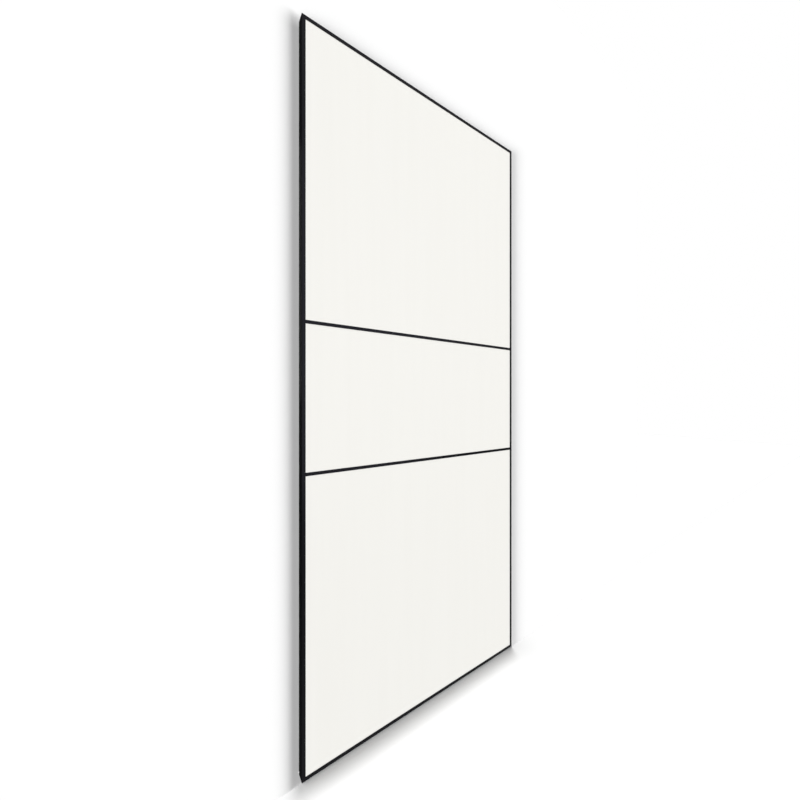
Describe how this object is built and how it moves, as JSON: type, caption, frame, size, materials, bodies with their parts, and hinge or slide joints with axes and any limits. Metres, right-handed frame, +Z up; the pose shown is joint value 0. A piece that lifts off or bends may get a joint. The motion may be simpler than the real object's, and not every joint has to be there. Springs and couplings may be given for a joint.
{
  "type": "slim-framed sliding door leaf",
  "caption": "Tall sliding door leaf: flush white boards in a slim mitred black metal frame, parted by narrow horizontal bars, hung from tapped plates along its top edge.",
  "frame": {"origin": "middle of the underside of the bottom rail", "axes": "+X across the leaf to the right as seen from the front, -Y towards the front, +Z up"},
  "size_m": [1, 0.0304, 2.36],
  "materials": {
    "frame": "satin",
    "board": "matte",
    "fitting": "satin"
  },
  "bodies": {
    "root": {"left_stile": "frame", "right_stile": "frame", "top_rail": "frame", "bottom_rail": "frame", "lower_divider": "frame", "upper_divider": "frame", "bottom_panel": "board", "middle_panel": "board", "top_panel": "board", "corner_key_bottom_left": "fitting", "corner_key_top_left": "fitting", "corner_key_top_right": "fitting", "corner_key_bottom_right": "fitting", "hanger_plate_left": "fitting", "hanger_plate_right": "fitting"}
  },
  "joints": []
}
